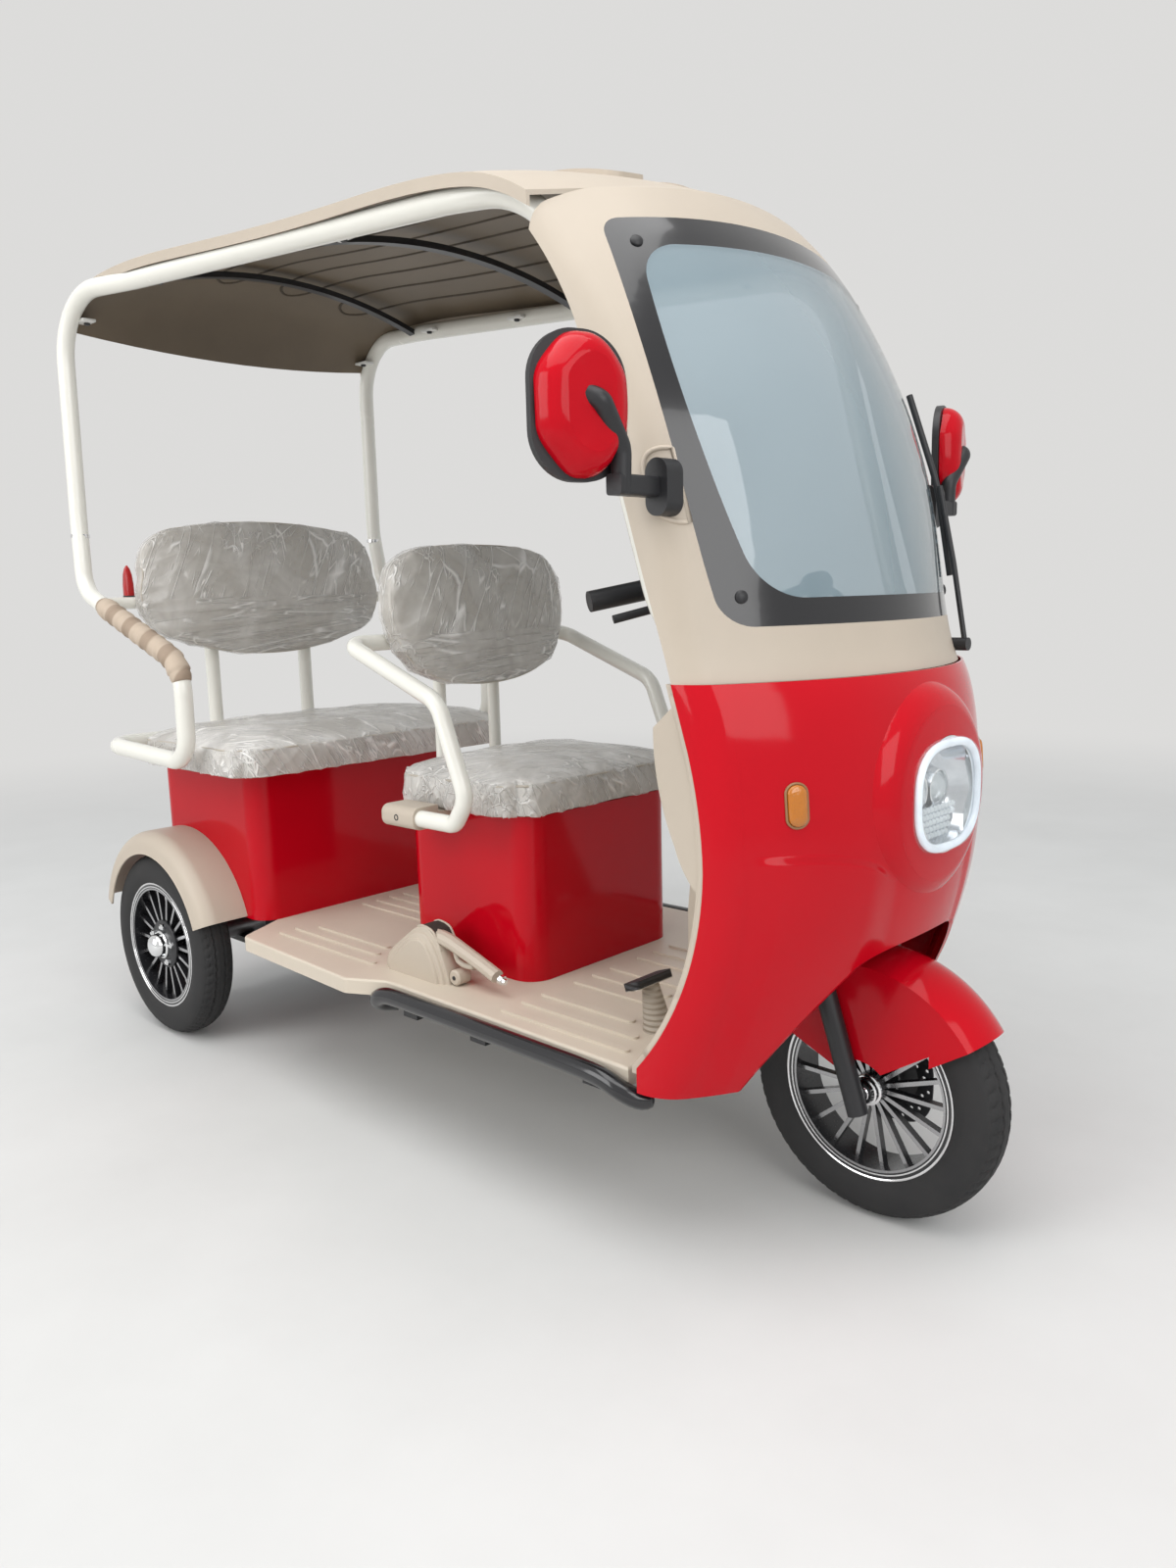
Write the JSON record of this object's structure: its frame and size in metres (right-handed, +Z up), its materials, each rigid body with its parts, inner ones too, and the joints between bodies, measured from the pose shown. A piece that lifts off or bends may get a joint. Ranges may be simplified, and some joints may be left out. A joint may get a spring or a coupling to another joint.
{
  "type": "electric passenger tricycle",
  "caption": "Electric passenger tricycle with a moulded front cowl, windshield, tube-framed roof, driver seat, rear bench and steered front wheel.",
  "frame": {"origin": "on the ground under the middle of the vehicle's overall box", "axes": "+X forward, +Y to the vehicle's left, +Z up"},
  "size_m": [2.1719, 1.1392, 1.7828],
  "materials": {
    "panel_red": "gloss",
    "shell_beige": "satin",
    "tube_white": "gloss",
    "frame_black": "satin",
    "border_black": "gloss",
    "window_glass": "clear",
    "seat_cover": "covered in clear film",
    "tyre_black": "matte",
    "wheel_alloy": "machined faces, black sides",
    "plastic_black": "satin",
    "mirror_silver": "mirror",
    "lamp_amber": "clear",
    "lamp_red": "clear",
    "lamp_chrome": "bright",
    "lamp_clear": "clear",
    "axle_steel": "satin",
    "motor_alloy": "satin"
  },
  "bodies": {
    "body": {"chassis_frame": "frame_black", "floor_pan": "shell_beige", "side_bars": "frame_black", "driver_box": "panel_red", "rear_box": "panel_red", "driver_cushion": "seat_cover", "driver_back": "seat_cover", "rear_cushion": "seat_cover", "rear_back": "seat_cover", "driver_rails": "tube_white", "rail_covers": "shell_beige", "side_frame_right": "tube_white", "side_frame_left": "tube_white", "rear_back_frame": "tube_white", "roof_panel": "shell_beige", "roof_bows": "frame_black", "cowl_upper": "shell_beige", "cowl_lower": "panel_red", "leg_shield": "shell_beige", "dashboard": "shell_beige", "windshield_border": "border_black", "windshield_glass": "window_glass", "wiper": "plastic_black", "headlight_body": "lamp_chrome", "headlight_lens": "lamp_clear", "front_signals": "lamp_amber", "mirror_arms": "plastic_black", "mirror_shells": "panel_red", "mirror_glasses": "mirror_silver", "rear_fenders": "shell_beige", "rear_axle": "axle_steel", "drive_motor": "motor_alloy", "rear_springs": "frame_black", "parking_brake": "shell_beige", "brake_pedal": "shell_beige", "tail_lamps": "lamp_red"},
    "steering": {"fork": "frame_black", "handlebar": "plastic_black", "front_mudguard": "panel_red"},
    "front_wheel": {"front_rim": "wheel_alloy", "front_tyre": "tyre_black"},
    "rear_wheel_right": {"rear_right_rim": "wheel_alloy", "rear_right_tyre": "tyre_black"},
    "rear_wheel_left": {"rear_left_rim": "wheel_alloy", "rear_left_tyre": "tyre_black"}
  },
  "joints": [
    {"name": "steering_turn", "type": "hinge", "parent": "body", "child": "steering", "pos_m": [0.84793, 0, 0.21413], "axis": [-0.309, 0, 0.9511], "range_deg": [-35, 35]},
    {"name": "front_wheel_spin", "type": "hinge", "parent": "steering", "child": "front_wheel", "pos_m": [0.866, 0, 0.22], "axis": [0, 1, 0], "continuous": true},
    {"name": "rear_wheel_right_spin", "type": "hinge", "parent": "body", "child": "rear_wheel_right", "pos_m": [-0.814, -0.358, 0.22], "axis": [0, 1, 0], "continuous": true},
    {"name": "rear_wheel_left_spin", "type": "hinge", "parent": "body", "child": "rear_wheel_left", "pos_m": [-0.814, 0.358, 0.22], "axis": [0, 1, 0], "continuous": true}
  ]
}
